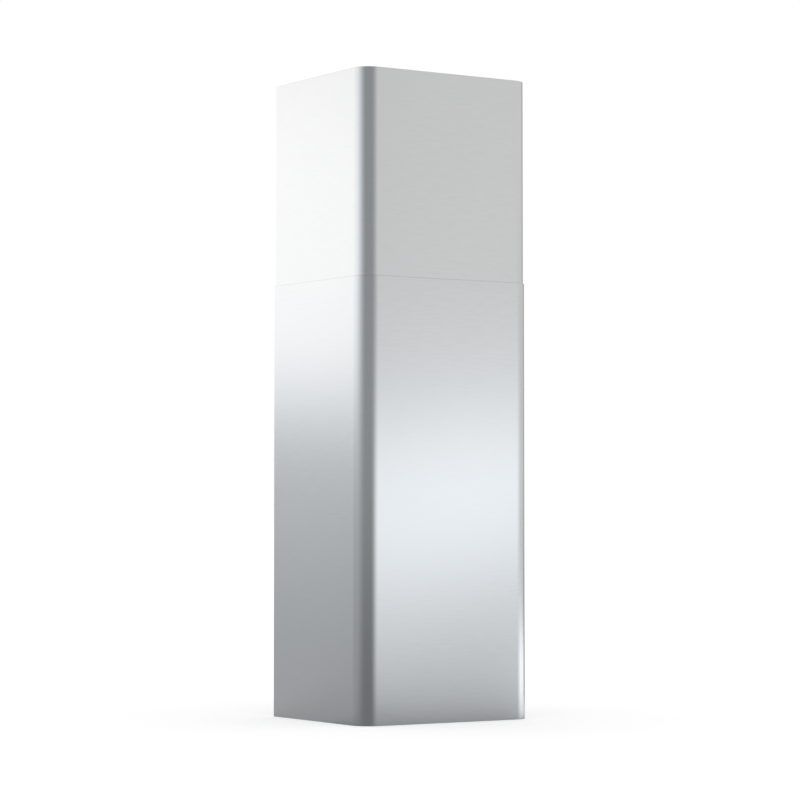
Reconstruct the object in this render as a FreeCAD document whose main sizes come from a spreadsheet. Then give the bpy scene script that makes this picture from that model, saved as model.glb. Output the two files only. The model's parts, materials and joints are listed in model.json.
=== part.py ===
"""Telescopic chimney cover for a wall-mounted cooker hood.

Two sleeves are folded from thin stainless sheet: a lower one that stands on the hood, and an upper one that
slides up inside it to the ceiling. Each is open at the back, with a flange turned in along each rear edge.
Two pressed brackets, which are screwed to the wall, hold the upper sleeve by its flanges. Felt strips at the
lower sleeve's mouth and plastic clips on the upper sleeve's tail keep the two sheets from scratching.

The frame is +Z up, the front towards -Y and the wall at +Y. The origin is the centre of the lower sleeve's
outline, on the plane of its bottom edge. Lengths are in millimetres.
"""

import FreeCAD, Part
import os

import Sketcher

# Driving dimensions: name, millimetres, meaning.
SIZES = [
    ("width", 277.0, "lower sleeve, outside, left to right"),
    ("depth", 236.0, "lower sleeve, outside, front to wall"),
    ("lower_height", 605.0, "lower sleeve, bottom edge to mouth"),
    ("upper_height", 500.0, "upper sleeve, end to end"),
    ("upper_showing", 283.0, "upper sleeve above the lower sleeve's mouth"),
    ("sheet", 0.8, "thickness of both sleeves' sheet"),
    ("slide_gap", 0.7, "gap between the sleeves, all round"),
    ("corner_radius", 25.0, "outside radius of the lower sleeve's front corners"),
    ("fold_radius", 1.6, "outside radius of the folds at the rear flanges"),
    ("lower_flange", 20.0, "rear flange of the lower sleeve, from its side"),
    ("upper_flange", 30.0, "rear flange of the upper sleeve, from its side"),
    ("hood_hole_diameter", 5.0, "fixing holes at the foot of the lower flanges"),
    ("hood_hole_height", 22.0, "fixing holes above the bottom edge"),
    ("bracket_sheet", 1.5, "thickness of the wall brackets' sheet"),
    ("bracket_height", 36.0, "wall bracket, bottom to top"),
    ("bracket_edge", 12.0, "wall bracket from the upper sleeve's end"),
    ("bracket_lip", 14.0, "lip turned forward at each end of a bracket"),
    ("bracket_bend", 1.0, "inside radius of the bend at a bracket's lip"),
    ("bracket_side_gap", 0.3, "bracket lip to the sleeve's side"),
    ("bracket_flange_gap", 1.0, "start of a bracket's wing to the flange's edge"),
    ("wall_slot_spacing", 120.0, "wall screw slots, centre to centre"),
    ("wall_slot_width", 6.0, "wall screw slots, across"),
    ("wall_slot_length", 18.0, "wall screw slots, end to end"),
    ("stud_diameter", 4.0, "studs in the upper flanges"),
    ("stud_length", 10.0, "studs, from the flange's front face"),
    ("stud_head_diameter", 5.6, "pressed head of a stud, flush in the flange"),
    ("stud_head_gap", 0.02, "pressed head to its hole, all round"),
    ("stud_slot_width", 4.8, "slots in the brackets for the studs, across"),
    ("stud_slot_length", 12.0, "slots in the brackets for the studs, end to end"),
    ("nut_across_flats", 7.0, "flanged nuts on the studs"),
    ("nut_height", 4.2, "flanged nuts, over all"),
    ("nut_flange_diameter", 9.4, "skirt of a flanged nut"),
    ("nut_flange_height", 1.2, "skirt of a flanged nut, thickness"),
    ("nut_thread_gap", 0.05, "nut bore to stud, all round"),
    ("glide_clearance", 0.2, "felt or clip to the sleeve that slides past it"),
    ("felt_height", 15.0, "felt strips at the mouth, bottom to top"),
    ("felt_edge", 4.0, "felt strips below the mouth"),
    ("felt_corner_gap", 6.0, "felt strips from the ends of a flat face"),
    ("clip_width", 36.0, "tail clips, along the sheet's edge"),
    ("clip_height", 16.0, "tail clips, legs"),
    ("clip_web", 1.4, "tail clips, below the sheet's edge"),
    ("clip_leg", 1.2, "tail clips, leg inside the sleeve"),
    ("clip_rear_inset", 60.0, "side clips, centre to the wall"),
]

# Shared expressions, written in terms of the spreadsheet.
NEST = "(Sizes.sheet + Sizes.slide_gap)"
HALF_WIDTH = "(Sizes.width / 2)"
HALF_DEPTH = "(Sizes.depth / 2)"
UPPER_BOTTOM = "(Sizes.lower_height + Sizes.upper_showing - Sizes.upper_height)"
UPPER_HALF_WIDTH = f"({HALF_WIDTH} - {NEST})"
UPPER_HALF_DEPTH = f"({HALF_DEPTH} - {NEST})"
UPPER_CORNER = f"(Sizes.corner_radius - {NEST})"
FLANGE_FRONT = f"({UPPER_HALF_DEPTH} - Sizes.sheet)"
GLIDE = "(Sizes.slide_gap - Sizes.glide_clearance)"
STUD_X = f"({UPPER_HALF_WIDTH} - Sizes.upper_flange / 2)"
BRACKET_MIDDLE = "(Sizes.bracket_height / 2)"
LOW_BRACKET = "Sizes.bracket_edge"
HIGH_BRACKET = "(Sizes.upper_height - Sizes.bracket_edge - Sizes.bracket_height)"

SIDES = {"left": -1, "right": 1}
BRACKETS = {"lower": LOW_BRACKET, "upper": HIGH_BRACKET}

doc = FreeCAD.newDocument("chimney")
sizes = doc.addObject("Spreadsheet::Sheet", "Sizes")
parts = []


def fill_spreadsheet():
    """Writes the driving dimensions, one row each, with their names as aliases."""
    for row, (name, millimetres, meaning) in enumerate(SIZES, start=1):
        sizes.set(f"A{row}", meaning)
        sizes.set(f"B{row}", str(millimetres))
        sizes.setAlias(f"B{row}", name)
    doc.recompute()


def value(expression):
    """The number that an expression over the spreadsheet gives now."""
    return float(sizes.evalExpression(expression))


def part(obj, label):
    """Names an object and lists it among the pieces to be written."""
    obj.Label = label
    parts.append(obj)
    return obj


def bind(obj, **properties):
    """Binds properties of an object to expressions. Two underscores stand for a dot in a property's name."""
    for name, expression in properties.items():
        obj.setExpression(name.replace("__", "."), expression)
    return obj


def place(obj, x, y, z):
    """Binds an object's position to three expressions."""
    return bind(obj, Placement__Base__x=x, Placement__Base__y=y, Placement__Base__z=z)


def new_sketch(body, name, plane):
    """An empty sketch on one of a body's own origin planes."""
    sketch = body.newObject("Sketcher::SketchObject", name)
    support = next(f for f in body.Origin.OriginFeatures if f.Role == plane)
    sketch.AttachmentSupport = (support, [""])
    sketch.MapMode = "FlatFace"
    return sketch


def pin(sketch, geometry, point, x, y):
    """Fixes a point of a sketch at two expressions, measured from the sketch's origin."""
    for kind, expression in (("DistanceX", x), ("DistanceY", y)):
        distance = value(expression)
        if distance < 0:
            ends = (geometry, point, -1, 1)
            expression = f"-({expression})"
        else:
            ends = (-1, 1, geometry, point)
        index = sketch.addConstraint(Sketcher.Constraint(kind, *ends, abs(distance)))
        sketch.setExpression(f"Constraints[{index}]", expression)


def set_radius(sketch, geometry, radius):
    """Binds the radius of an arc or circle to an expression."""
    index = sketch.addConstraint(Sketcher.Constraint("Radius", geometry, value(radius)))
    sketch.setExpression(f"Constraints[{index}]", radius)


def arc(sketch, x, y, radius, start, end):
    """Adds an arc about a centre given by expressions, between two angles in degrees."""
    circle = Part.Circle(FreeCAD.Vector(value(x), value(y), 0), FreeCAD.Vector(0, 0, 1), value(radius))
    turns = [FreeCAD.Units.Quantity(f"{angle} deg").getValueAs("rad").Value for angle in (start, end)]
    return sketch.addGeometry(Part.ArcOfCircle(circle, *turns), False)


def join_ends(sketch, first, last):
    """Adds the straight line from one curve's end to another's start, tangent to both."""
    line = Part.LineSegment(sketch.getPoint(first, 2), sketch.getPoint(last, 1))
    middle = sketch.addGeometry(line, False)
    sketch.addConstraint(Sketcher.Constraint("Tangent", first, 2, middle, 1))
    sketch.addConstraint(Sketcher.Constraint("Tangent", middle, 2, last, 1))


def rounded_outline(body, name, half_width, half_depth, front_radius, rear_radius):
    """A rectangle about the origin with one radius at its front corners and another at its rear ones."""
    sketch = new_sketch(body, name, "XY_Plane")
    corners = [
        (1, -1, front_radius, -90),
        (1, 1, rear_radius, 0),
        (-1, 1, rear_radius, 90),
        (-1, -1, front_radius, 180),
    ]
    arcs = []
    for across, along, radius, start in corners:
        x = f"{across} * ({half_width} - {radius})"
        y = f"{along} * ({half_depth} - {radius})"
        arcs.append((arc(sketch, x, y, radius, start, start + 90), x, y, radius))
    for (first, *_), (last, *_) in zip(arcs, arcs[1:] + arcs[:1]):
        join_ends(sketch, first, last)
    for index, x, y, radius in arcs:
        set_radius(sketch, index, radius)
        pin(sketch, index, 3, x, y)
    return sketch


def polygon(body, name, plane, corners):
    """A closed outline through corners that are given as pairs of expressions."""
    sketch = new_sketch(body, name, plane)
    points = [FreeCAD.Vector(value(x), value(y), 0) for x, y in corners]
    for start, end in zip(points, points[1:] + points[:1]):
        sketch.addGeometry(Part.LineSegment(start, end), False)
    count = len(corners)
    for index, (x, y) in enumerate(corners):
        sketch.addConstraint(Sketcher.Constraint("Coincident", (index - 1) % count, 2, index, 1))
        pin(sketch, index, 1, x, y)
    return sketch


def circles(body, name, plane, centres, radius):
    """Circles of one radius at centres that are given as pairs of expressions."""
    sketch = new_sketch(body, name, plane)
    for x, y in centres:
        circle = Part.Circle(FreeCAD.Vector(value(x), value(y), 0), FreeCAD.Vector(0, 0, 1), value(radius))
        index = sketch.addGeometry(circle, False)
        set_radius(sketch, index, radius)
        pin(sketch, index, 3, x, y)
    return sketch


def slots(body, name, plane, centres, length, width, upright):
    """Round-ended slots of one size at centres that are given as pairs of expressions."""
    sketch = new_sketch(body, name, plane)
    reach = f"({length} - {width}) / 2"
    radius = f"{width} / 2"
    for x, y in centres:
        ends = []
        for sign, start in ((1, 0 if upright else -90), (-1, 180 if upright else 90)):
            end_x = x if upright else f"{x} + {sign} * {reach}"
            end_y = f"{y} + {sign} * {reach}" if upright else y
            index = arc(sketch, end_x, end_y, radius, start, start + 180)
            ends.append((index, end_x, end_y))
        (first, *_), (last, *_) = ends
        join_ends(sketch, first, last)
        join_ends(sketch, last, first)
        for index, end_x, end_y in ends:
            set_radius(sketch, index, radius)
            pin(sketch, index, 3, end_x, end_y)
    return sketch


def pad(body, sketch, length):
    """Raises an outline to a length given by an expression."""
    feature = body.newObject("PartDesign::Pad", sketch.Name + "_pad")
    feature.Profile = sketch
    bind(feature, Length=length)
    doc.recompute()
    return feature


def cut_through(body, sketch, reverse):
    """Cuts an outline through the body, to the side that the sketch faces if reverse is set."""
    before = body.Shape.Volume
    feature = body.newObject("PartDesign::Pocket", sketch.Name + "_cut")
    feature.Profile = sketch
    feature.Type = "ThroughAll"
    feature.Reversed = reverse
    doc.recompute()
    if body.Shape.Volume >= before:
        raise RuntimeError(f"{feature.Name} removed nothing")
    return feature


def round_edges(body, feature, radius, chosen):
    """Rounds the edges of a feature that a test on their middle points picks out."""
    names = []
    for number, edge in enumerate(feature.Shape.Edges, start=1):
        middle = edge.valueAt((edge.FirstParameter + edge.LastParameter) / 2)
        if chosen(edge, middle):
            names.append(f"Edge{number}")
    fillet = body.newObject("PartDesign::Fillet", feature.Name + "_round")
    fillet.Base = (feature, names)
    bind(fillet, Radius=radius)
    doc.recompute()
    return fillet


def folded_sleeve(name, half_width, half_depth, corner, height, flange):
    """A sheet folded round the front and both sides, with a flange turned in along each rear edge."""
    body = doc.addObject("PartDesign::Body", name)
    outside = rounded_outline(body, name + "_outside", half_width, half_depth, corner, "Sizes.fold_radius")
    pad(body, outside, height)
    thinner = "- Sizes.sheet"
    inside = rounded_outline(
        body,
        name + "_inside",
        f"({half_width} {thinner})",
        f"({half_depth} {thinner})",
        f"({corner} {thinner})",
        f"(Sizes.fold_radius {thinner})",
    )
    cut_through(body, inside, True)
    mouth = f"({half_width} - {flange})"
    past_wall = f"({half_depth} + Sizes.sheet)"
    opening = [
        (f"-{mouth}", f"{half_depth} / 2"),
        (mouth, f"{half_depth} / 2"),
        (mouth, past_wall),
        (f"-{mouth}", past_wall),
    ]
    cut_through(body, polygon(body, name + "_back", "XY_Plane", opening), True)
    return body


def lower_section():
    """The outer sleeve, with a hole at the foot of each flange for a screw into the hood."""
    body = folded_sleeve(
        "lower_section", HALF_WIDTH, HALF_DEPTH, "Sizes.corner_radius", "Sizes.lower_height", "Sizes.lower_flange"
    )
    across = f"({HALF_WIDTH} - Sizes.lower_flange / 2)"
    centres = [(f"{sign} * {across}", "Sizes.hood_hole_height") for sign in SIDES.values()]
    holes = circles(body, "hood_holes", "XZ_Plane", centres, "Sizes.hood_hole_diameter / 2")
    cut_through(body, holes, False)
    part(body, "lower_section")


def upper_section():
    """The inner sleeve, with holes in its flanges for the heads of the studs."""
    body = folded_sleeve(
        "upper_section",
        UPPER_HALF_WIDTH,
        UPPER_HALF_DEPTH,
        UPPER_CORNER,
        "Sizes.upper_height",
        "Sizes.upper_flange",
    )
    centres = [
        (f"{sign} * {STUD_X}", f"{bottom} + {BRACKET_MIDDLE}")
        for sign in SIDES.values()
        for bottom in BRACKETS.values()
    ]
    radius = "Sizes.stud_head_diameter / 2 + Sizes.stud_head_gap"
    cut_through(body, circles(body, "stud_holes", "XZ_Plane", centres, radius), False)
    place(body, "0", "0", UPPER_BOTTOM)
    part(body, "upper_section")


def bracket_outline():
    """Half of a bracket's section, from the wall plate out to its lip and back along the front face."""
    sheet = "Sizes.bracket_sheet"
    plate_rear = HALF_DEPTH
    plate_front = f"({HALF_DEPTH} - {sheet})"
    wing_rear = FLANGE_FRONT
    wing_front = f"({FLANGE_FRONT} - {sheet})"
    wing_start = f"({UPPER_HALF_WIDTH} - Sizes.upper_flange - Sizes.bracket_flange_gap)"
    plate_end = f"({wing_start} - ({plate_rear} - {wing_rear}))"
    slant = f"{sheet} * tan(22.5 deg)"
    lip_outside = f"({UPPER_HALF_WIDTH} - Sizes.sheet - Sizes.bracket_side_gap)"
    lip_inside = f"({lip_outside} - {sheet})"
    lip_tip = f"({wing_rear} - Sizes.bracket_lip)"
    return [
        (plate_end, plate_rear),
        (wing_start, wing_rear),
        (lip_outside, wing_rear),
        (lip_outside, lip_tip),
        (lip_inside, lip_tip),
        (lip_inside, wing_front),
        (f"({wing_start} - {slant})", wing_front),
        (f"({plate_end} - {slant})", plate_front),
    ]


def wall_bracket(name, bottom):
    """A strip pressed so that its middle meets the wall and its wings lie on the upper sleeve's flanges."""
    body = doc.addObject("PartDesign::Body", name)
    right = bracket_outline()
    left = [(f"-{x}", y) for x, y in reversed(right)]
    strip = pad(body, polygon(body, name + "_section", "XY_Plane", right + left), "Sizes.bracket_height")
    bend_x = value(f"{UPPER_HALF_WIDTH} - Sizes.sheet - Sizes.bracket_side_gap")
    bend_y = value(FLANGE_FRONT)
    thickness = value("Sizes.bracket_sheet")
    tiny = 1e-4

    def at_bend(inset):
        """Picks the upright edges at the lips, on the outside or the inside of the sheet."""

        def chosen(edge, middle):
            upright = abs(edge.tangentAt(edge.FirstParameter).z) > 1 - tiny
            across = abs(abs(middle.x) - (bend_x - inset)) < tiny
            return upright and across and abs(middle.y - (bend_y - inset)) < tiny

        return chosen

    inner = round_edges(body, strip, "Sizes.bracket_bend", at_bend(thickness))
    round_edges(body, inner, "Sizes.bracket_bend + Sizes.bracket_sheet", at_bend(0.0))
    wall = [(f"{sign} * Sizes.wall_slot_spacing / 2", BRACKET_MIDDLE) for sign in SIDES.values()]
    wall_slots = slots(
        body, name + "_wall_slots", "XZ_Plane", wall, "Sizes.wall_slot_length", "Sizes.wall_slot_width", False
    )
    cut_through(body, wall_slots, False)
    studs = [(f"{sign} * {STUD_X}", BRACKET_MIDDLE) for sign in SIDES.values()]
    stud_slots = slots(
        body, name + "_stud_slots", "XZ_Plane", studs, "Sizes.stud_slot_length", "Sizes.stud_slot_width", True
    )
    cut_through(body, stud_slots, False)
    place(body, "0", "0", f"{UPPER_BOTTOM} + {bottom}")
    part(body, name)


def towards_front(obj, x, y, z):
    """Turns an object's own Z axis towards the front and places it."""
    obj.Placement.Rotation = FreeCAD.Rotation(FreeCAD.Vector(1, 0, 0), 90)
    return place(obj, x, y, z)


def stud_place(sign, bottom):
    """The axis of a stud: across, and up from the floor."""
    return f"{sign} * {STUD_X}", f"{UPPER_BOTTOM} + {bottom} + {BRACKET_MIDDLE}"


def stud(name, x, z):
    """A stud whose flat head is pressed flush into a flange and whose shank points to the front."""
    head = doc.addObject("Part::Cylinder", name + "_head")
    bind(head, Radius="Sizes.stud_head_diameter / 2", Height="Sizes.sheet")
    towards_front(head, x, UPPER_HALF_DEPTH, z)
    shank = doc.addObject("Part::Cylinder", name + "_shank")
    bind(shank, Radius="Sizes.stud_diameter / 2", Height="Sizes.stud_length")
    towards_front(shank, x, FLANGE_FRONT, z)
    joined = doc.addObject("Part::Fuse", name)
    joined.Base = head
    joined.Tool = shank
    return joined


def nut(name, x, z):
    """A hexagon nut with a skirt, seated on the front of a bracket's wing."""
    seat = f"({FLANGE_FRONT} - Sizes.bracket_sheet)"
    hexagon = doc.addObject("Part::Prism", name + "_hexagon")
    hexagon.Polygon = 6
    bind(hexagon, Circumradius="Sizes.nut_across_flats / 2 / cos(30 deg)", Height="Sizes.nut_height")
    towards_front(hexagon, x, seat, z)
    skirt = doc.addObject("Part::Cone", name + "_skirt")
    bind(
        skirt,
        Radius1="Sizes.nut_flange_diameter / 2",
        Radius2="Sizes.nut_across_flats / 2",
        Height="Sizes.nut_flange_height",
    )
    towards_front(skirt, x, seat, z)
    bore = doc.addObject("Part::Cylinder", name + "_bore")
    bind(bore, Radius="Sizes.stud_diameter / 2 + Sizes.nut_thread_gap", Height="Sizes.nut_height")
    towards_front(bore, x, seat, z)
    blank = doc.addObject("Part::Fuse", name + "_blank")
    blank.Base = hexagon
    blank.Tool = skirt
    drilled = doc.addObject("Part::Cut", name)
    drilled.Base = blank
    drilled.Tool = bore
    return drilled


def fasteners(label, make):
    """A group of like fasteners, one at each end of each bracket."""
    group = doc.addObject("Part::Compound", label)
    group.Links = [
        make(f"{label}_{level}_{side}", *stud_place(sign, bottom))
        for level, bottom in BRACKETS.items()
        for side, sign in SIDES.items()
    ]
    part(group, label)


def felt_strip(label, length, width, x, y):
    """A strip of felt stuck inside the lower sleeve, just below its mouth."""
    strip = doc.addObject("Part::Box", label)
    bind(strip, Length=length, Width=width, Height="Sizes.felt_height")
    place(strip, x, y, "Sizes.lower_height - Sizes.felt_edge - Sizes.felt_height")
    part(strip, label)


def mouth_felts():
    """Felt on the flat inside faces of the lower sleeve: the front and both sides."""
    inner_x = f"({HALF_WIDTH} - Sizes.sheet)"
    inner_y = f"({HALF_DEPTH} - Sizes.sheet)"
    front_half = f"({HALF_WIDTH} - Sizes.corner_radius - Sizes.felt_corner_gap)"
    felt_strip("mouth_felt_front", f"2 * {front_half}", GLIDE, f"-{front_half}", f"-{inner_y}")
    side_front = f"(-{HALF_DEPTH} + Sizes.corner_radius + Sizes.felt_corner_gap)"
    side_rear = f"({HALF_DEPTH} - Sizes.fold_radius - Sizes.felt_corner_gap)"
    for side, start in (("left", f"-{inner_x}"), ("right", f"{inner_x} - {GLIDE}")):
        felt_strip("mouth_felt_" + side, GLIDE, f"{side_rear} - {side_front}", start, side_front)


def tail_clip(label, turn, x, y):
    """A clip pushed up onto the upper sleeve's bottom edge, with its thin leg outside. Its place is the
    middle of the sheet's outer face at that edge, and its turn is about Z, in degrees."""
    bottom = f"{UPPER_BOTTOM} - Sizes.clip_web"
    block = doc.addObject("Part::Box", label + "_block")
    bind(
        block,
        Length="Sizes.clip_width",
        Width=f"{GLIDE} + Sizes.sheet + Sizes.clip_leg",
        Height="Sizes.clip_web + Sizes.clip_height",
    )
    place(block, "-Sizes.clip_width / 2", f"-{GLIDE}", "0")
    slit = doc.addObject("Part::Box", label + "_slit")
    bind(slit, Length="Sizes.clip_width", Width="Sizes.sheet", Height="Sizes.clip_height")
    place(slit, "-Sizes.clip_width / 2", "0", "Sizes.clip_web")
    clip = doc.addObject("Part::Cut", label)
    clip.Base = block
    clip.Tool = slit
    clip.Placement.Rotation = FreeCAD.Rotation(FreeCAD.Vector(0, 0, 1), turn)
    place(clip, x, y, bottom)
    part(clip, label)


def tail_clips():
    """Two clips on the front of the upper sleeve's tail and one on each side."""
    for side, sign in SIDES.items():
        tail_clip("tail_clip_front_" + side, 0, f"{sign} * {UPPER_HALF_WIDTH} / 2", f"-{UPPER_HALF_DEPTH}")
        side_y = f"{HALF_DEPTH} - Sizes.clip_rear_inset"
        tail_clip("tail_clip_" + side, 90 * sign, f"{sign} * {UPPER_HALF_WIDTH}", side_y)


def check_document():
    """Stops if any object failed, or any piece has no valid solid."""
    for obj in doc.Objects:
        if "Invalid" in obj.State or "Error" in obj.State:
            raise RuntimeError(f"{obj.Name} failed: {obj.State}")
    for obj in parts:
        if obj.Shape.isNull() or not obj.Shape.isValid() or not obj.Shape.Solids:
            raise RuntimeError(f"{obj.Label} has no valid solid")


def write_parts():
    """Writes each piece to its own file."""
    os.makedirs("parts", exist_ok=True)
    for obj in parts:
        obj.Shape.exportStep(f"parts/{obj.Label}.step")
        print(f"{obj.Label}: {len(obj.Shape.Solids)} solids, {obj.Shape.Volume:.1f} mm3")


fill_spreadsheet()
lower_section()
upper_section()
for level, height in BRACKETS.items():
    wall_bracket(level + "_wall_bracket", height)
fasteners("flange_studs", stud)
fasteners("flange_nuts", nut)
mouth_felts()
tail_clips()
doc.recompute()
check_document()
write_parts()
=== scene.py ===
"""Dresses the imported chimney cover: two brushed steel sleeves that slide in each other, with the wall
brackets, studs, nuts, felt strips and plastic clips behind and between them. Lengths are in metres."""

import json
import math
from itertools import accumulate

import bmesh
import bpy
from mathutils import Matrix, Vector, noise

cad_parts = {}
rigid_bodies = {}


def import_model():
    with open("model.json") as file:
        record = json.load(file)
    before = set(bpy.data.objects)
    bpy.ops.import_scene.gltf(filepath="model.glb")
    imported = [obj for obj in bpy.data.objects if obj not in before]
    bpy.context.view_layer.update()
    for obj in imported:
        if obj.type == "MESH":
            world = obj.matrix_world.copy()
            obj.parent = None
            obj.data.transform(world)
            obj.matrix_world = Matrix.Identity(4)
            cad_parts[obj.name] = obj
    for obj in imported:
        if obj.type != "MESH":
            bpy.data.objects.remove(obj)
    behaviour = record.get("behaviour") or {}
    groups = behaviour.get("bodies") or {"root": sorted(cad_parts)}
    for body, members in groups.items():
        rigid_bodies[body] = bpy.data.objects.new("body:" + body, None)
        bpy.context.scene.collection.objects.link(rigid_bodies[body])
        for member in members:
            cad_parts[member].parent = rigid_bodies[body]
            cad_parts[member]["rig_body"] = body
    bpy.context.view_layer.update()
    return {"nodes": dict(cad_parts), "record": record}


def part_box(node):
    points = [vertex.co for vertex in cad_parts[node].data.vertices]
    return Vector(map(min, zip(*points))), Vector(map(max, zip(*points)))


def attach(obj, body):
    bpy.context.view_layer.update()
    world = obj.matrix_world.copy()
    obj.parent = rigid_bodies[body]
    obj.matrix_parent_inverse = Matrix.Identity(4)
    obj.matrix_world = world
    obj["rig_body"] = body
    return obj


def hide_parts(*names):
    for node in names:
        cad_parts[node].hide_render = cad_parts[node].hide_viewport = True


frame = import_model()

MM = 0.001

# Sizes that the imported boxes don't give.
CORNER_RADIUS = 25 * MM
FOLD_RADIUS = 1.6 * MM
LOWER_FLANGE = 20 * MM
UPPER_FLANGE = 30 * MM
BRACKET_SHEET = 1.5 * MM
BRACKET_BEND = 1.0 * MM
BRACKET_FLANGE_GAP = 1.0 * MM
STUD_SLOT_WIDTH = 4.8 * MM
STUD_SLOT_LENGTH = 12 * MM
STUD_DIAMETER = 4 * MM
STUD_HEAD_DIAMETER = 5.6 * MM
STUD_HEAD_GAP = 0.02 * MM
STUD_TIP_CHAMFER = 0.6 * MM
THREAD_PITCH = 0.7 * MM
THREAD_DEPTH = 0.36 * MM
NUT_SIDES = 6
NUT_ACROSS_FLATS = 7 * MM
NUT_FLANGE_HEIGHT = 1.2 * MM
NUT_SKIRT_WALL = 0.4 * NUT_FLANGE_HEIGHT
NUT_SKIRT_SHOULDER = 0.5 * NUT_FLANGE_HEIGHT
NUT_CHAMFER_SLOPE = 0.6
NUT_THREAD_GAP = 0.05 * MM
NUT_COUNTERSINK = 0.3 * MM
NUT_CROWN = 0.1 * MM
FELT_ROUND = 0.12 * MM
FELT_UNEVEN = 0.06 * MM
FELT_LUMP = 8 * MM
CLIP_LEG = 1.2 * MM
CLIP_LEAD_IN = 0.35 * MM
CLIP_ROUND = 0.12 * MM
CLIP_GROOVES = 4
CLIP_GROOVE_DEPTH = 0.25 * MM

# A grip groove's corners: shares of the grooves' pitch from its middle, and of its depth.
CLIP_GROOVE_CORNERS = ((-0.3, 0), (-0.15, 1), (0.15, 1), (0.3, 0))

# Finish of the sheets' edges.
DEBURR = 0.15 * MM
END_INSET = 0.7 * DEBURR
ROUND_OVER = 0.25 * MM

# Steps that curves and uneven faces are drawn in.
SLEEVE_BEND_STEPS = 36
BRACKET_BEND_STEPS = 10
HALF_HOLE_STEPS = 24
STUD_STEPS = 32
THREAD_ROWS_PER_TURN = 10
NUT_STEPS = 72
FELT_LENGTH_STEPS = 90
FELT_HEIGHT_STEPS = 8
CLIP_ROUND_STEPS = 2
TENT_STEPS = 128
QUARTER_TURN = [math.radians(angle) for angle in (0, 30, 60, 90)]

# Edges that turn by more degrees than these stay sharp in the shading.
SHEET_SHARP = 35
STUD_SHARP = 50
NUT_SHARP = 30
FELT_SHARP = 60
CLIP_SHARP = 30

# A clip's edges that turn by more degrees than this are rounded.
CLIP_ROUNDED = 60

# How far a hole's cutter reaches from a sheet's rear face, in sheet thicknesses.
CUTTER_REACH = 5

# Places that follow from the frame.
LOWER_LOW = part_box("lower_section")[0]
UPPER_LOW, UPPER_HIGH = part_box("upper_section")
NEST = UPPER_LOW.x - LOWER_LOW.x
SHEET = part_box("mouth_felt_front")[0].y - LOWER_LOW.y
FLANGE_FRONT = UPPER_HIGH.y - SHEET
STUD_X = UPPER_HIGH.x - UPPER_FLANGE / 2
MOUNTS = {mount["name"]: mount for mount in frame["record"]["mounts"]}
BRACKETS = ("lower_wall_bracket", "upper_wall_bracket")


# Meshes


def make_object(name, mesh):
    """Turns a bmesh into a shown object with outward faces."""
    bmesh.ops.recalc_face_normals(mesh, faces=mesh.faces)
    data = bpy.data.meshes.new(name)
    mesh.to_mesh(data)
    mesh.free()
    obj = bpy.data.objects.new(name, data)
    bpy.context.scene.collection.objects.link(obj)
    return obj


def merged(name, meshes):
    """One object from several bmeshes."""
    total = bmesh.new()
    for mesh in meshes:
        data = bpy.data.meshes.new("piece")
        mesh.to_mesh(data)
        mesh.free()
        total.from_mesh(data)
        bpy.data.meshes.remove(data)
    return make_object(name, total)


def finish_shading(obj, sharp):
    """Shades an object smooth, with edges sharper than an angle kept, and large faces left flat."""
    obj.data.polygons.foreach_set("use_smooth", [True] * len(obj.data.polygons))
    obj.data.set_sharp_from_angle(angle=math.radians(sharp))
    weighted = obj.modifiers.new("weighted", "WEIGHTED_NORMAL")
    weighted.keep_sharp = True


def grid_mesh(rows, closed_rows):
    """A closed surface from rows of points, each row a loop. The rows form a loop too, or else have caps."""
    mesh = bmesh.new()
    made = [[mesh.verts.new(point) for point in row] for row in rows]
    pairs = list(zip(made, made[1:]))
    if closed_rows:
        pairs.append((made[-1], made[0]))
    else:
        mesh.faces.new(made[0])
        mesh.faces.new(made[-1])
    for row, beside in pairs:
        for index in range(len(row)):
            after = (index + 1) % len(row)
            mesh.faces.new((row[index], row[after], beside[after], beside[index]))
    return mesh


# Folded sheets

# The steps of a sheet's ring that are its outer and inner sides, and the materials of its faces.
OUTER_SIDE, INNER_SIDE = 3, 9
OUTER_FACE, INNER_FACE, CUT_FACE = 0, 1, 2


def bent_path(corners, segments):
    """Points and left-hand normals along a polyline whose inner corners are rounded. A corner is its x,
    its y and its radius."""
    spots = [Vector((x, y)) for x, y, _ in corners]
    headings = [(b - a).normalized() for a, b in zip(spots, spots[1:])]
    left = [Vector((-d.y, d.x)) for d in headings]
    path = [(spots[0], left[0])]
    for index in range(1, len(corners) - 1):
        radius = corners[index][2]
        before, after = headings[index - 1], headings[index]
        turn = math.atan2(before.cross(after), before.dot(after))
        reach = radius * math.tan(abs(turn) / 2)
        start = spots[index] - before * reach
        centre = start + left[index - 1] * math.copysign(radius, turn)
        for step in range(segments + 1):
            rotation = Matrix.Rotation(turn * step / segments, 2)
            path.append((centre + rotation @ (start - centre), rotation @ left[index - 1]))
    path.append((spots[-1], left[-1]))
    return path


def sheet_stations(path):
    """A sheet's path with a station added just inside each end, where the deburred end starts."""
    (first, first_normal), (last, last_normal) = path[0], path[-1]
    near_first = first + (path[1][0] - first).normalized() * DEBURR
    near_last = last + (path[-2][0] - last).normalized() * DEBURR
    return [path[0], (near_first, first_normal), *path[1:-1], (near_last, last_normal), path[-1]]


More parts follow.
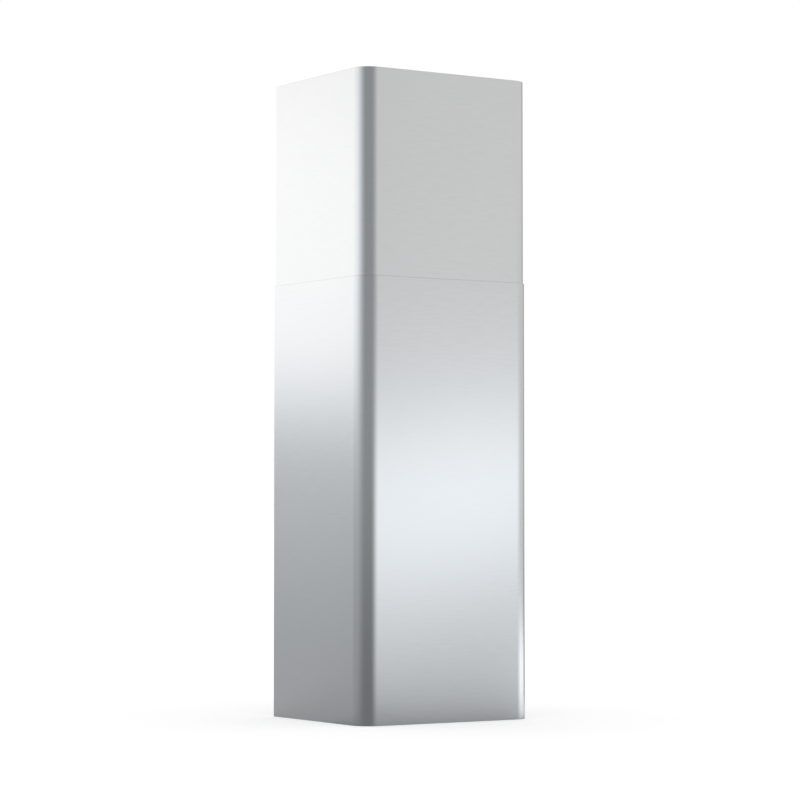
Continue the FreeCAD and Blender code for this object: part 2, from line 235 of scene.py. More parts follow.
def sheet_ring(thickness, low, high, inset):
    """One closed loop round a sheet's section, as (depth into the sheet, height). Its outer edges are
    rounded over and its inner edges are deburred."""
    near, far = inset, thickness - inset
    bottom, top = low + inset, high - inset
    arc = [(ROUND_OVER * (1 - math.cos(turn)), ROUND_OVER * (1 - math.sin(turn))) for turn in QUARTER_TURN]
    outer_bottom = [(near + depth, bottom + rise) for depth, rise in reversed(arc)]
    outer_top = [(near + depth, top - drop) for depth, drop in arc]
    inner_top = [(far - DEBURR, top), (far, top - DEBURR)]
    inner_bottom = [(far, bottom + DEBURR), (far - DEBURR, bottom)]
    return outer_bottom + outer_top + inner_top + inner_bottom


def join_rings(mesh, uv, rings, runs):
    """Joins a sheet's rings with faces, and closes its two ends."""
    count = len(rings[0])
    for index in range(len(rings) - 1):
        for side in range(count):
            beside = (side + 1) % count
            corners = [(index, side), (index + 1, side), (index + 1, beside), (index, beside)]
            face = mesh.faces.new([rings[station][corner] for station, corner in corners])
            face.material_index = {OUTER_SIDE: OUTER_FACE, INNER_SIDE: INNER_FACE}.get(side, CUT_FACE)
            for loop, (station, _) in zip(face.loops, corners):
                loop[uv].uv = (loop.vert.co.z, runs[station])
    for ring in (rings[0], rings[-1]):
        mesh.faces.new(ring).material_index = CUT_FACE


def folded_sheet(name, path, thickness, low, high, materials):
    """A sheet of even thickness bent along a path and standing between two heights. It lies to the right of
    the path. Its outer side, its inner side and its cut edges each have a material. Its UV map is in metres:
    height, then the distance along the sheet."""
    stations = sheet_stations(path)
    lengths = [(b - a).length for (a, _), (b, _) in zip(stations, stations[1:])]
    runs = list(accumulate(lengths, initial=0.0))
    mesh = bmesh.new()
    uv = mesh.loops.layers.uv.new("sheet")
    rings = []
    for index, (point, normal) in enumerate(stations):
        inset = END_INSET if index in (0, len(stations) - 1) else 0.0
        ring = sheet_ring(thickness, low, high, inset)
        rings.append([mesh.verts.new((*(point - normal * depth), z)) for depth, z in ring])
    join_rings(mesh, uv, rings, runs)
    obj = make_object(name, mesh)
    paint(obj, materials)
    return obj


def slot_outline(x, z, length, width, upright):
    """The outline of a round-ended slot, or of a circle where length and width are the same."""
    reach = (length - width) / 2
    points = []
    for sign in (1, -1):
        for step in range(HALF_HOLE_STEPS + 1):
            angle = math.pi * step / HALF_HOLE_STEPS + (0 if sign > 0 else math.pi)
            along = sign * reach + math.sin(angle) * width / 2
            across = math.cos(angle) * width / 2
            points.append((x + across, z + along) if upright else (x + along, z - across))
    if reach > 0:
        return points
    return points[:HALF_HOLE_STEPS] + points[HALF_HOLE_STEPS + 1 : -1]


def prism(outline, start, end):
    """A closed prism along Y through an outline of (x, z) points, as a bmesh."""
    mesh = bmesh.new()
    front = [mesh.verts.new((x, start, z)) for x, z in outline]
    back = [mesh.verts.new((x, end, z)) for x, z in outline]
    mesh.faces.new(front)
    mesh.faces.new(back)
    for index in range(len(outline)):
        beside = (index + 1) % len(outline)
        mesh.faces.new((front[index], front[beside], back[beside], back[index]))
    return mesh


def cut(obj, outlines, start, end):
    """Cuts holes through a sheet along Y. Their walls are cut edges."""
    for outline in outlines:
        tool = make_object("cutter", prism(outline, start, end))
        tool.data.polygons.foreach_set("material_index", [CUT_FACE] * len(tool.data.polygons))
        for material in obj.data.materials:
            tool.data.materials.append(material)
        modifier = obj.modifiers.new("cut", "BOOLEAN")
        modifier.object = tool
        modifier.solver = "EXACT"
        modifier.material_mode = "INDEX"
        evaluated = obj.evaluated_get(bpy.context.evaluated_depsgraph_get())
        data = bpy.data.meshes.new_from_object(evaluated)
        obj.modifiers.remove(modifier)
        obj.data = data
        bpy.data.objects.remove(tool)


# Shader helpers


class Nodes:
    """A node tree, with short calls to add and join its nodes."""

    def __init__(self, tree):
        self.tree = tree

    def node(self, kind, **settings):
        """Adds a node. Settings that name a property set it."""
        made = self.tree.nodes.new(kind)
        for key, setting in settings.items():
            setattr(made, key, setting)
        return made

    def link(self, output, socket):
        """Joins an output to an input."""
        self.tree.links.new(output, socket)

    def math(self, operation, *values):
        """A Math node whose inputs are numbers or outputs."""
        made = self.node("ShaderNodeMath", operation=operation)
        for socket, number in zip(made.inputs, values):
            if isinstance(number, (int, float)):
                socket.default_value = number
            else:
                self.link(number, socket)
        return made.outputs[0]

    def remap(self, output, low, high, to_low=0, to_high=1, smooth=False):
        """A clamped Map Range node."""
        made = self.node("ShaderNodeMapRange", interpolation_type="SMOOTHSTEP" if smooth else "LINEAR")
        self.link(output, made.inputs["Value"])
        for key, number in zip(("From Min", "From Max", "To Min", "To Max"), (low, high, to_low, to_high)):
            made.inputs[key].default_value = number
        return made.outputs["Result"]

    def stretched(self, vector, scales):
        """A vector scaled unevenly."""
        made = self.node("ShaderNodeMapping")
        self.link(vector, made.inputs["Vector"])
        made.inputs["Scale"].default_value = scales
        return made.outputs["Vector"]

    def noise(self, vector, scale, detail=3, roughness=0.55):
        """The factor of a Noise texture. Its scale is one number, or one for each axis, per metre."""
        if isinstance(scale, tuple):
            vector = self.stretched(vector, scale)
            scale = 1
        made = self.node("ShaderNodeTexNoise")
        self.link(vector, made.inputs["Vector"])
        made.inputs["Scale"].default_value = scale
        made.inputs["Detail"].default_value = detail
        made.inputs["Roughness"].default_value = roughness
        return made.outputs["Fac"]

    def shade(self, factor, dark, light):
        """A colour between two, by a factor."""
        made = self.node("ShaderNodeMix", data_type="RGBA")
        self.link(factor, made.inputs["Factor"])
        made.inputs["A"].default_value = (*dark, 1)
        made.inputs["B"].default_value = (*light, 1)
        return made.outputs["Result"]

    def blend(self, first, second, share):
        """Two factors added up, with the second's share of the whole."""
        first = self.math("MULTIPLY", first, 1 - share)
        second = self.math("MULTIPLY", second, share)
        return self.math("ADD", first, second)


class Shader(Nodes):
    """A material's nodes, and the surface that they end in."""

    def __init__(self, name):
        self.material = bpy.data.materials.new(name)
        self.material.use_nodes = True
        super().__init__(self.material.node_tree)
        self.surface = self.tree.nodes["Principled BSDF"]

    def place(self):
        """Where a point lies in the object, in metres."""
        return self.node("ShaderNodeTexCoord").outputs["Object"]

    def set(self, **sockets):
        """Sets constant values on the surface. Underscores stand for spaces in a socket's name."""
        for key, setting in sockets.items():
            self.surface.inputs[key.replace("_", " ")].default_value = setting

    def drive(self, **sockets):
        """Links outputs to the surface. Underscores stand for spaces in a socket's name."""
        for key, output in sockets.items():
            self.link(output, self.surface.inputs[key.replace("_", " ")])

    def bump(self, height, distance):
        """Drives the surface's normal from a height."""
        made = self.node("ShaderNodeBump")
        made.inputs["Distance"].default_value = distance
        self.link(height, made.inputs["Height"])
        self.drive(Normal=made.outputs["Normal"])


# Materials

# The spans of a noise factor at whose ends a material has its extremes.
WIDE_SPAN = (0.3, 0.7)
NARROW_SPAN = (0.35, 0.65)


def brushed_stainless():
    """Satin stainless sheet, brushed along its length: streaks run level round the sleeve, and light spreads
    up and down, across the streaks."""
    shader = Shader("brushed_stainless")
    shader.set(Metallic=1.0, Anisotropic=0.75)
    place = shader.node("ShaderNodeUVMap", uv_map="sheet").outputs["UV"]
    tangent = shader.node("ShaderNodeTangent", direction_type="UV_MAP", uv_map="sheet")
    hairlines = shader.noise(place, scale=(2600, 18, 1), detail=4, roughness=0.7)
    strokes = shader.noise(place, scale=(340, 40, 1))
    streaks = shader.blend(hairlines, strokes, share=0.6)
    tone = shader.blend(streaks, shader.noise(place, scale=9, detail=2), share=0.15)
    factor = shader.remap(tone, *WIDE_SPAN)
    shader.drive(
        Base_Color=shader.shade(factor, dark=(0.621, 0.627, 0.633), light=(0.653, 0.659, 0.665)),
        Roughness=shader.remap(streaks, *WIDE_SPAN, to_low=0.215, to_high=0.235),
        Tangent=tangent.outputs["Tangent"],
    )
    shader.bump(hairlines, distance=0.004 * MM)
    return shader.material


def mill_stainless():
    """The sheet's unbrushed inner side: an even, dull mill finish with faint rolling marks."""
    shader = Shader("mill_stainless")
    shader.set(Metallic=1.0)
    place = shader.node("ShaderNodeUVMap", uv_map="sheet").outputs["UV"]
    grain = shader.noise(place, scale=1400, detail=2)
    rolling = shader.noise(place, scale=(60, 3, 1))
    tone = shader.blend(grain, rolling, share=0.6)
    factor = shader.remap(tone, *NARROW_SPAN)
    shader.drive(
        Base_Color=shader.shade(factor, dark=(0.50, 0.505, 0.51), light=(0.56, 0.565, 0.57)),
        Roughness=shader.remap(tone, *NARROW_SPAN, to_low=0.36, to_high=0.46),
    )
    shader.bump(grain, distance=0.004 * MM)
    return shader.material


def cut_edge():
    """A sheared and deburred sheet edge, duller and darker than the brushed face."""
    shader = Shader("cut_edge")
    shader.set(Metallic=1.0)
    marks = shader.noise(shader.place(), scale=(900, 900, 3000))
    shader.drive(
        Base_Color=shader.shade(marks, dark=(0.40, 0.41, 0.42), light=(0.54, 0.55, 0.56)),
        Roughness=shader.remap(marks, *WIDE_SPAN, to_low=0.38, to_high=0.55),
    )
    shader.bump(marks, distance=0.01 * MM)
    return shader.material


def spangle(shader, place, scale, wander_scale, wander):
    """Two random numbers for each crystal of a spangle. The crystals' sides wander."""
    waves = shader.node("ShaderNodeTexNoise")
    waves.inputs["Scale"].default_value = wander_scale
    shader.link(place, waves.inputs["Vector"])
    bent = shader.node("ShaderNodeVectorMath", operation="MULTIPLY_ADD")
    bent.inputs[1].default_value = (wander, wander, wander)
    shader.link(waves.outputs["Color"], bent.inputs[0])
    shader.link(place, bent.inputs[2])
    crystals = shader.node("ShaderNodeTexVoronoi")
    crystals.inputs["Scale"].default_value = scale
    shader.link(bent.outputs["Vector"], crystals.inputs["Vector"])
    facet = shader.node("ShaderNodeSeparateColor")
    shader.link(crystals.outputs["Color"], facet.inputs["Color"])
    return facet.outputs["Red"], facet.outputs["Green"]


def galvanised_sheet():
    """Hot-dip galvanised sheet with a small spangle: wavy-sided crystals that differ in tone and gloss."""
    shader = Shader("galvanised_sheet")
    shader.set(Metallic=1.0)
    place = shader.place()
    crystal_tone, crystal_gloss = spangle(shader, place, scale=170, wander_scale=160, wander=4 * MM)
    tone = shader.blend(crystal_tone, shader.noise(place, scale=1500), share=0.25)
    shader.drive(
        Base_Color=shader.shade(tone, dark=(0.46, 0.48, 0.50), light=(0.68, 0.70, 0.72)),
        Roughness=shader.remap(crystal_gloss, 0, 1, to_low=0.30, to_high=0.50),
    )
    shader.bump(tone, distance=0.02 * MM)
    return shader.material


def zinc_plated():
    """Bright zinc plate on small fasteners, with a faint blue cast."""
    shader = Shader("zinc_plated")
    shader.set(Metallic=1.0)
    place = shader.place()
    mottle = shader.noise(place, scale=900)
    shader.drive(
        Base_Color=shader.shade(mottle, dark=(0.60, 0.63, 0.67), light=(0.74, 0.76, 0.78)),
        Roughness=shader.remap(mottle, *WIDE_SPAN, to_low=0.20, to_high=0.34),
    )
    shader.bump(shader.noise(place, scale=3500), distance=0.01 * MM)
    return shader.material


def grey_felt():
    """Pressed felt: matted fibres in two greys, with a soft sheen."""
    shader = Shader("grey_felt")
    shader.set(Metallic=0.0, Roughness=0.95, Sheen_Weight=0.4, Sheen_Roughness=0.6)
    place = shader.place()
    mat = shader.noise(place, scale=700, detail=6, roughness=0.75)
    fibres = shader.noise(place, scale=(300, 300, 2600), detail=5, roughness=0.8)
    tone = shader.blend(mat, fibres, share=0.5)
    factor = shader.remap(tone, *NARROW_SPAN)
    shader.drive(Base_Color=shader.shade(factor, dark=(0.10, 0.10, 0.105), light=(0.23, 0.23, 0.235)))
    shader.bump(tone, distance=0.2 * MM)
    return shader.material


def white_nylon():
    """Natural moulded nylon: off-white, satin, with a fine spark texture."""
    shader = Shader("white_nylon")
    shader.set(Metallic=0.0, Subsurface_Weight=0.15, Subsurface_Scale=2 * MM)
    place = shader.place()
    spark = shader.noise(place, scale=2200)
    cloud = shader.noise(place, scale=120)
    shader.drive(
        Base_Color=shader.shade(cloud, dark=(0.78, 0.78, 0.75), light=(0.83, 0.83, 0.805)),
        Roughness=shader.remap(spark, *WIDE_SPAN, to_low=0.38, to_high=0.52),
    )
    shader.bump(spark, distance=0.03 * MM)
    return shader.material


MATERIALS = {
    make.__name__: make()
    for make in (
        brushed_stainless,
        mill_stainless,
        cut_edge,
        galvanised_sheet,
        zinc_plated,
        grey_felt,
        white_nylon,
    )
}

# A sheet's materials: its outer side, its inner side and its cut edges.
STAINLESS = ("brushed_stainless", "mill_stainless", "cut_edge")
GALVANISED = ("galvanised_sheet", "galvanised_sheet", "cut_edge")


def paint(obj, materials):
    """Gives an object its materials, in order."""
    for name in materials:
        obj.data.materials.append(MATERIALS[name])


def install(obj, node):
    """Puts a piece in the place of a CAD node, on the node's body."""
    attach(obj, frame["nodes"][node]["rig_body"])
    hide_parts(node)


# Sleeves


def stud_places():
    """Each stud's axis, as (x, z): one at each end of each bracket."""
    levels = [(low.z + high.z) / 2 for low, high in map(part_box, BRACKETS)]
    return [(side * STUD_X, level) for level in levels for side in (-1, 1)]


def sleeve(name, node, corner_radius, flange, hole_places, hole_diameter):
    """A sheet folded round the front and sides, with flanges at the back that have round holes."""
    low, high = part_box(node)
    outline = [
        (high.x - flange, high.y, 0),
        (high.x, high.y, FOLD_RADIUS),
        (high.x, low.y, corner_radius),
        (low.x, low.y, corner_radius),
        (low.x, high.y, FOLD_RADIUS),
        (low.x + flange, high.y, 0),
    ]
    path = bent_path(outline, SLEEVE_BEND_STEPS)
    obj = folded_sheet(name, path, SHEET, low.z, high.z, STAINLESS)
    holes = [slot_outline(x, z, hole_diameter, hole_diameter, upright=True) for x, z in hole_places]
    margin = CUTTER_REACH * SHEET
    cut(obj, holes, high.y - margin, high.y + margin)
    finish_shading(obj, SHEET_SHARP)
    install(obj, node)


def sleeves():
    """The lower sleeve, with its fixing holes, and the upper sleeve, with holes for the studs' heads."""
    fixing = MOUNTS["hood_fixing_holes"]
    half = fixing["dims"]["spacing_x_mm"] * MM / 2
    places = [(side * half, fixing["pos_m"][2]) for side in (-1, 1)]
    diameter = fixing["dims"]["hole_r_mm"] * MM * 2
    sleeve("lower_sleeve", "lower_section", CORNER_RADIUS, LOWER_FLANGE, places, diameter)
    diameter = STUD_HEAD_DIAMETER + 2 * STUD_HEAD_GAP
    sleeve("upper_sleeve", "upper_section", CORNER_RADIUS - NEST, UPPER_FLANGE, stud_places(), diameter)


# Wall brackets and their fasteners


def bracket_path(low, high):
    """The line that a bracket is bent along: a plate on the wall, wings on the upper sleeve's flanges, and
    lips at its ends."""
    wing_start = UPPER_HIGH.x - UPPER_FLANGE - BRACKET_FLANGE_GAP
    plate_end = wing_start - (high.y - FLANGE_FRONT)
    inside, outside = BRACKET_BEND, BRACKET_BEND + BRACKET_SHEET
    half = [
        (plate_end, high.y, outside),
        (wing_start, FLANGE_FRONT, inside),
        (high.x, FLANGE_FRONT, outside),
        (high.x, low.y, 0),
    ]
    mirrored = [(-x, y, radius) for x, y, radius in reversed(half)]
    return bent_path(mirrored + half, BRACKET_BEND_STEPS)


def wall_bracket(node):
    """A pressed strip with slots for two wall screws and for the studs."""
    low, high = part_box(node)
    path = bracket_path(low, high)
    obj = folded_sheet(node + "_strip", path, BRACKET_SHEET, low.z, high.z, GALVANISED)
    level = (low.z + high.z) / 2
    wall = MOUNTS[node.replace("wall_bracket", "bracket_slots")]["dims"]
    spread, width = wall["spacing_x_mm"] * MM / 2, wall["hole_r_mm"] * MM * 2
    length = wall["slot_length_mm"] * MM
    holes = []
    for side in (-1, 1):
        holes.append(slot_outline(side * spread, level, length, width, upright=False))
        holes.append(slot_outline(side * STUD_X, level, STUD_SLOT_LENGTH, STUD_SLOT_WIDTH, upright=True))
    margin = CUTTER_REACH * BRACKET_SHEET
    cut(obj, holes, FLANGE_FRONT - margin, high.y + margin)
    finish_shading(obj, SHEET_SHARP)
    install(obj, node)


def round_row(x, y, z, radii):
    """A loop of points about an axis along Y, with a radius for each of its equal steps."""
    count = len(radii)
    row = []
    for index, radius in enumerate(radii):
        angle = 2 * math.pi * index / count
        row.append((x + radius * math.cos(angle), y, z + radius * math.sin(angle)))
    return row


def thread_radii(along, length):
    """A thread's radius at each step round it, at a distance from its foot. The thread fades in over its
    first turn, and its tip is chamfered."""
    shank = STUD_DIAMETER / 2
    tip = max(0.0, along - (length - STUD_TIP_CHAMFER))
    fade = min(1.0, along / THREAD_PITCH)
    radii = []
    for index in range(STUD_STEPS):
        phase = (along / THREAD_PITCH - index / STUD_STEPS) % 1.0
        groove = THREAD_DEPTH * fade * abs(2 * phase - 1)
        radii.append(min(shank - groove, shank - tip))
    return radii


def stud_mesh(x, z):
    """A stud with a flat flush head and a cut thread."""
    low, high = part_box("flange_studs")
    length = FLANGE_FRONT - low.y
    head, shank = STUD_HEAD_DIAMETER / 2, STUD_DIAMETER / 2
    rows = [
        round_row(x, high.y, z, [head - DEBURR] * STUD_STEPS),
        round_row(x, high.y - DEBURR, z, [head] * STUD_STEPS),
        round_row(x, FLANGE_FRONT, z, [head] * STUD_STEPS),
        round_row(x, FLANGE_FRONT, z, [shank] * STUD_STEPS),
    ]
    steps = int(length / THREAD_PITCH * THREAD_ROWS_PER_TURN)
    for step in range(1, steps + 1):
        along = length * step / steps
        rows.append(round_row(x, FLANGE_FRONT - along, z, thread_radii(along, length)))
    return grid_mesh(rows, closed_rows=False)


def hexagon_radii():
    """A nut's outer radius at each step round it."""
    sector = 360 / NUT_SIDES
    radii = []
    for index in range(NUT_STEPS):
        turned = (360 * index / NUT_STEPS + sector / 2) % sector - sector / 2
        radii.append(NUT_ACROSS_FLATS / 2 / math.cos(math.radians(turned)))
    return radii


def nut_mesh(x, z):
    """A hexagon nut with a conical skirt, a chamfered top and a bore that is countersunk at both ends."""
    low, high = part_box("flange_nuts")
    seat, top = high.y, low.y
    flat = NUT_ACROSS_FLATS / 2
    skirt = high.x - STUD_X
    bore = STUD_DIAMETER / 2 + NUT_THREAD_GAP
    hexagon = hexagon_radii()
    chamfer = [(radius - flat) * NUT_CHAMFER_SLOPE + NUT_CROWN / 2 for radius in hexagon]

    def ring(y, radius):
        """A round row at a place along the nut's axis."""
        return round_row(x, y, z, [radius] * NUT_STEPS)

    rows = [
        ring(seat, bore + NUT_COUNTERSINK),
        ring(seat, skirt - DEBURR),
        ring(seat - DEBURR, skirt),
        ring(seat - NUT_SKIRT_WALL, skirt),
        ring(seat - NUT_SKIRT_SHOULDER, skirt - DEBURR),
        round_row(x, seat - NUT_FLANGE_HEIGHT, z, [radius + NUT_CROWN for radius in hexagon]),
        round_row(x, seat - NUT_FLANGE_HEIGHT - NUT_CROWN, z, hexagon),
        [(px, top + drop, pz) for (px, _, pz), drop in zip(round_row(x, top, z, hexagon), chamfer)],
        ring(top, flat - NUT_CROWN),
        ring(top, bore + NUT_COUNTERSINK),
        ring(top + NUT_COUNTERSINK, bore),
        ring(seat - NUT_COUNTERSINK, bore),
    ]
    return grid_mesh(rows, closed_rows=True)


def fasteners():
    """The studs that are pressed into the upper sleeve's flanges, and the nuts on them."""
    kinds = (("flange_studs", stud_mesh, STUD_SHARP), ("flange_nuts", nut_mesh, NUT_SHARP))
    for node, make, sharp in kinds:
        obj = merged(node + "_set", [make(x, z) for x, z in stud_places()])
        finish_shading(obj, sharp)
        paint(obj, ("zinc_plated",))
        install(obj, node)


# Felt strips and tail clips

FRONT, LEFT, RIGHT = Vector((0, -1, 0)), Vector((-1, 0, 0)), Vector((1, 0, 0))


def strip_section(thickness, height):
    """A felt strip's section as (depth from the wall that it is stuck to, height). Its free edges are
    rounded."""
    round_top = []
    for turn in QUARTER_TURN:
        depth = thickness - FELT_ROUND * (1 - math.sin(turn))
        round_top.append((depth, height - FELT_ROUND * (1 - math.cos(turn))))
    levels = [height * step / FELT_HEIGHT_STEPS for step in range(FELT_HEIGHT_STEPS - 1, 0, -1)]
    round_bottom = [(depth, height - rise) for depth, rise in reversed(round_top)]
    return [(0, 0), (0, height), *round_top, *((thickness, level) for level in levels), *round_bottom]


def felt_strip(node, outward):
    """A felt strip stuck inside the lower sleeve, with rounded free edges and a slightly uneven face."""
    low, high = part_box(node)
    size = high - low
    along = Vector((-outward.y, outward.x, 0))
    length, thickness = abs(size.dot(along)), abs(size.dot(outward))
    wall = (low + high) / 2 + outward * thickness / 2
    rows = []
    for station in range(FELT_LENGTH_STEPS + 1):
        run = length * (station / FELT_LENGTH_STEPS - 0.5)
        row = []
        for depth, level in strip_section(thickness, size.z):
            lump = 0.5 + 0.5 * noise.noise(Vector((run, level, 0)) / FELT_LUMP)
            depth -= FELT_UNEVEN * lump if depth > thickness / 2 else 0
            row.append(wall + along * run - outward * depth + Vector((0, 0, level - size.z / 2)))
        rows.append(row)
    obj = make_object(node + "_strip", grid_mesh(rows, closed_rows=False))
    finish_shading(obj, FELT_SHARP)
    paint(obj, ("grey_felt",))
    install(obj, node)


def clip_section(depth, height):
    """A tail clip's section as (depth from its outer face, height): a thin leg outside, a slit for the
    sheet, and a thicker leg inside that has grip grooves. Both legs lead in at the top."""
    web = UPPER_LOW.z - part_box("tail_clip_left")[0].z
    thin = depth - SHEET - CLIP_LEG
    lead = CLIP_LEAD_IN
    section = [(0, 0), (depth, 0)]
    pitch = (height - web) / (CLIP_GROOVES + 1)
    for groove in range(1, CLIP_GROOVES + 1):
        level = web + pitch * groove
        for step, cut_in in CLIP_GROOVE_CORNERS:
            section.append((depth - CLIP_GROOVE_DEPTH * cut_in, level + pitch * step))
    section += [(depth, height - 2 * lead), (depth - lead, height)]
    section += [(thin + SHEET + lead, height), (thin + SHEET, height - lead), (thin + SHEET, web)]
    section += [(thin, web), (thin, height - lead), (thin - lead / 2, height), (0, height)]
    return section


def tail_clip(node, outward):
    """A moulded clip pushed up onto the upper sleeve's tail edge."""
    low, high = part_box(node)
    size = high - low
    along = Vector((-outward.y, outward.x, 0))
    width, depth = abs(size.dot(along)), abs(size.dot(outward))
    face = (low + high) / 2 + outward * depth / 2 - Vector((0, 0, size.z / 2))
    section = clip_section(depth, size.z)
    rows = []
    for side in (-0.5, 0, 0.5):
        start = face + along * width * side
        rows.append([start - outward * inward + Vector((0, 0, up)) for inward, up in section])
    obj = make_object(node + "_moulding", grid_mesh(rows, closed_rows=False))
    rounded = obj.modifiers.new("rounded", "BEVEL")
    rounded.width = CLIP_ROUND
    rounded.segments = CLIP_ROUND_STEPS
    rounded.limit_method = "ANGLE"
    rounded.angle_limit = math.radians(CLIP_ROUNDED)
    finish_shading(obj, CLIP_SHARP)
    paint(obj, ("white_nylon",))
    install(obj, node)


def small_parts():
    """Every felt strip and every tail clip, with the way that each faces outwards."""
    for side, outward in (("front", FRONT), ("left", LEFT), ("right", RIGHT)):
        felt_strip("mouth_felt_" + side, outward)
    for side, outward in (("front_left", FRONT), ("front_right", FRONT), ("left", LEFT), ("right", RIGHT)):
        tail_clip("tail_clip_" + side, outward)


# Studio

# The camera, fitted to the edges in the photograph's frame of 800 by 800 pixels.
FRAME_PIXELS = 800
FOCAL_PIXELS = 2824
SENSOR_WIDTH_MM = 36
CAMERA_DISTANCE = 3.955
CAMERA_AZIMUTH = math.radians(-32.88)
CAMERA_HEIGHT = 0.2822
CAMERA_AIM = Vector((-0.003, 0, 0.4434))
CAMERA_CLIP_END = 200

# The room and its floor.
WHITE = (1, 1, 1, 1)
ROOM_LEVEL = 0.9
FLOOR_COLOUR = (0.6, 0.6, 0.6, 1)
FLOOR_GLOW = 0.5
FLOOR_REACH = 60
FLOOR_GAP = 0.2 * MM

# The light tent. Its ground and its roof change over a range of heights, from one level to another.
TENT_RADIUS, TENT_HEIGHT = 1.0, 2.4
TENT_GROUND = {"low": 0.0, "high": 0.38, "to_low": 0.22, "to_high": 0.41}
TENT_ROOF = {"low": 1.25, "high": 1.75, "to_low": 1, "to_high": 0.3}

# A panel's sides are soft. Its bearings, its heights and its reach from the axis each say where it begins,
# where it is full, where it is last full and where it ends. A range with no start or no end runs past the
# tent.
NO_START, NO_END = (-9, -8), (8, 9)
ANYWHERE = (*NO_START, *NO_END)
LOW_DOWN = (*NO_START, 0.02, 0.11)
TENT_PANELS = {
    "rear left softbox": {
        "level": 0.765,
        "bearings": (-210, -185, -118, -48),
        "heights": (0.365, 0.56, 0.85, 1.90),
    },
    "rear left wall": {"level": 0.18, "bearings": (-240, -200, -105, -50)},
    "rear left end": {"level": 0.11, "bearings": (-240, -200, -142, -126)},
    "right wall": {
        "level": 0.46,
        "bearings": (-18, 30, 78, 118),
        "heights": (0.0, 0.11, *NO_END),
    },
    "gap in the right wall": {
        "level": -0.08,
        "bearings": (38, 50, 84, 100),
        "heights": (0.35, 0.5, 0.62, 0.8),
    },
    "front right strip": {
        "level": 0.76,
        "bearings": (-24, 18, 28, 70),
        "heights": (0.02, 0.255, 0.285, 0.545),
        "lean": 3 * MM,
    },
    "rear right wall": {"level": 0.08, "bearings": (95, 125, 175, 205)},
    "front right floor": {
        "level": 0.52,
        "bearings": (-25, 12, 50, 100),
        "heights": LOW_DOWN,
        "reach": (0.05, 0.75, *NO_END),
    },
    "right floor": {
        "level": 0.65,
        "bearings": (32, 66, 86, 108),
        "heights": LOW_DOWN,
        "reach": (0.1, 0.3, *NO_END),
    },
    "foot of the right wall": {
        "level": 1.0,
        "bearings": (32, 66, 86, 108),
        "heights": LOW_DOWN,
        "reach": (0.8, 0.95, *NO_END),
    },
}

# The tent's two colours, and where each of them shows.
WARM_TINT, COOL_TINT = (1.006, 1.0, 0.99), (0.962, 1.0, 1.035)
COOL_HEIGHTS = (-0.15, 0.12, 0.3, 0.75)
COOL_ROOM = {"level": 1, "bearings": (-128, -98, -20, 5)}
WARM_SIDE = {"level": 1, "bearings": (45, 65, 130, 160), "heights": (0.25, 0.45, *NO_END)}


def camera():
    """A low camera to the left of the front, which looks slightly up."""
    data = bpy.data.cameras.new("camera")
    data.sensor_width = SENSOR_WIDTH_MM
    data.lens = FOCAL_PIXELS / FRAME_PIXELS * data.sensor_width
    data.clip_end = CAMERA_CLIP_END
    obj = bpy.data.objects.new("camera", data)
    obj.location = (
        CAMERA_DISTANCE * math.sin(CAMERA_AZIMUTH),
        -CAMERA_DISTANCE * math.cos(CAMERA_AZIMUTH),
        CAMERA_HEIGHT,
    )
    obj.rotation_euler = (CAMERA_AIM - obj.location).to_track_quat("-Z", "Y").to_euler()
    bpy.context.scene.collection.objects.link(obj)
    bpy.context.scene.camera = obj


def background_rays(nodes):
    """1 for rays that should see a white background: camera rays, and glossy or transmitted ones."""
    path = nodes.node("ShaderNodeLightPath").outputs
    seen = nodes.math("MAXIMUM", path["Is Camera Ray"], path["Is Glossy Ray"])
    return nodes.math("MAXIMUM", seen, path["Is Transmission Ray"])


def world():
    """White behind the object, and an even soft light from all round."""
    studio = bpy.data.worlds.new("studio")
    studio.use_nodes = True
    bpy.context.scene.world = studio
    nodes = Nodes(studio.node_tree)
    background = nodes.tree.nodes["Background"]
    background.inputs["Color"].default_value = WHITE
    strength = nodes.remap(background_rays(nodes), 0, 1, to_low=ROOM_LEVEL, to_high=1)
    nodes.link(strength, background.inputs["Strength"])


def floor():
    """A pale floor that is white where nothing shades it and keeps the object's soft shadow."""
    shader = Shader("floor")
    shader.set(Roughness=1.0, Specular_IOR_Level=0.0, Base_Color=FLOOR_COLOUR, Emission_Color=WHITE)
    shader.drive(Emission_Strength=shader.math("MULTIPLY", background_rays(shader), FLOOR_GLOW))
    mesh = bmesh.new()
    bmesh.ops.create_grid(mesh, x_segments=1, y_segments=1, size=FLOOR_REACH)
    obj = make_object("floor", mesh)
    obj.location.z = -FLOOR_GAP
    obj.data.materials.append(shader.material)


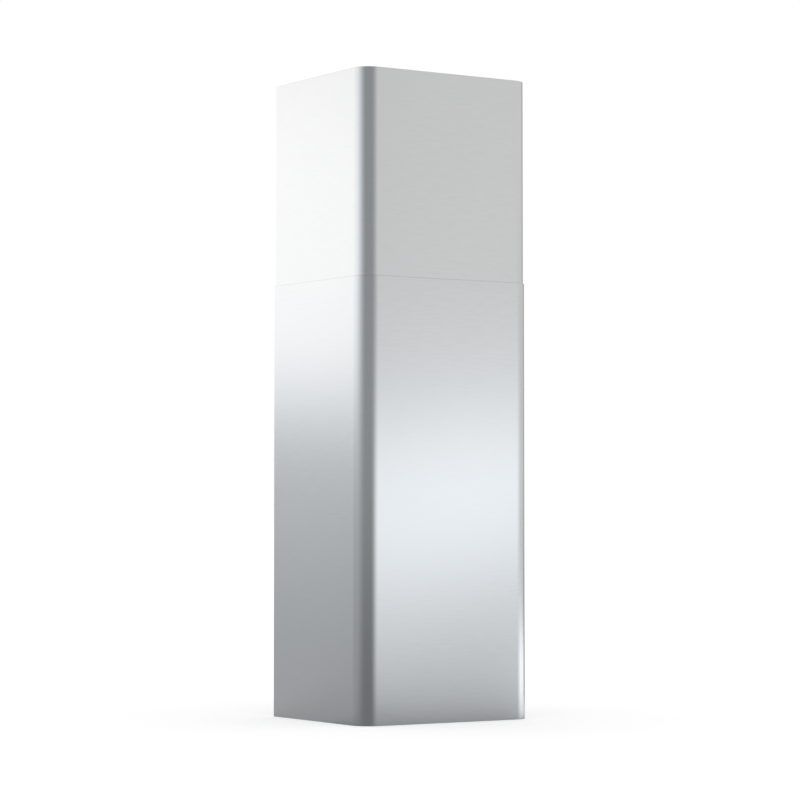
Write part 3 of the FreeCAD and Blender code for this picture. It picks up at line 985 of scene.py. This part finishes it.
class TentLight(Shader):
    """The glow of a light tent: soft panels on a grey ground. A place on the tent has a bearing, in degrees
    from the front and positive to the right, a height and a distance from the upright axis."""

    def __init__(self):
        super().__init__("tent")
        split = self.node("ShaderNodeSeparateXYZ")
        self.link(self.place(), split.inputs["Vector"])
        x, y, self.height = split.outputs
        self.bearing = self.math("DEGREES", self.math("ARCTAN2", x, self.math("MULTIPLY", y, -1)))
        square = self.math("ADD", self.math("MULTIPLY", x, x), self.math("MULTIPLY", y, y))
        self.from_axis = self.math("SQRT", square)

    def between(self, output, begin, full, last, end):
        """1 from full to last, and 0 before begin and after end, with soft changes."""
        rise = self.remap(output, begin, full, smooth=True)
        fall = self.remap(output, end, last, smooth=True)
        return self.math("MULTIPLY", rise, fall)

    def panel(self, level, bearings, heights=ANYWHERE, reach=ANYWHERE, lean=0.0):
        """A panel's light. Its bearings may run past 180. Each degree to the right of its middle bearing
        lifts it by its lean."""
        middle = (bearings[0] + bearings[3]) / 2
        offset = self.math("WRAP", self.math("SUBTRACT", self.bearing, middle), 180, -180)
        mask = self.between(offset, *(edge - middle for edge in bearings))
        lift = self.math("MULTIPLY", self.math("MAXIMUM", offset, 0), lean)
        mask = self.math("MULTIPLY", mask, self.between(self.math("SUBTRACT", self.height, lift), *heights))
        mask = self.math("MULTIPLY", mask, self.between(self.from_axis, *reach))
        return self.math("MULTIPLY", mask, level)

    def level(self):
        """The brightness: a ground that darkens to the foot, the panels, and a dim roof over them."""
        total = self.remap(self.height, **TENT_GROUND, smooth=True)
        for settings in TENT_PANELS.values():
            total = self.math("ADD", total, self.panel(**settings))
        return self.math("MULTIPLY", total, self.remap(self.height, **TENT_ROOF, smooth=True))

    def tint(self):
        """The colour: cool up to middle heights and ahead on the left, where the room shows, and else warm.
        On the right it turns warm lower down."""
        middle = self.between(self.height, *COOL_HEIGHTS)
        cool = self.math("MAXIMUM", middle, self.panel(**COOL_ROOM))
        return self.shade(self.math("SUBTRACT", cool, self.panel(**WARM_SIDE)), WARM_TINT, COOL_TINT)


def tent_glow():
    """The tent's material, which only gives light."""
    shader = TentLight()
    shader.tree.nodes.remove(shader.surface)
    glow = shader.node("ShaderNodeEmission")
    shader.link(shader.tint(), glow.inputs["Color"])
    shader.link(shader.level(), glow.inputs["Strength"])
    shader.link(glow.outputs["Emission"], shader.tree.nodes["Material Output"].inputs["Surface"])
    shader.material.cycles.emission_sampling = "NONE"
    return shader.material


def tent():
    """A light tent round the object, which only reflections show."""
    mesh = bmesh.new()
    bmesh.ops.create_cone(
        mesh,
        cap_ends=True,
        segments=TENT_STEPS,
        radius1=TENT_RADIUS,
        radius2=TENT_RADIUS,
        depth=TENT_HEIGHT,
    )
    bmesh.ops.translate(mesh, vec=(0, 0, TENT_HEIGHT / 2), verts=mesh.verts)
    obj = make_object("tent", mesh)
    obj.data.materials.append(tent_glow())
    obj.visible_camera = False
    obj.visible_diffuse = False
    obj.visible_transmission = False
    obj.visible_shadow = False


sleeves()
for bracket in BRACKETS:
    wall_bracket(bracket)
fasteners()
small_parts()
camera()
world()
floor()
tent()
bpy.context.scene.view_settings.view_transform = "Standard"
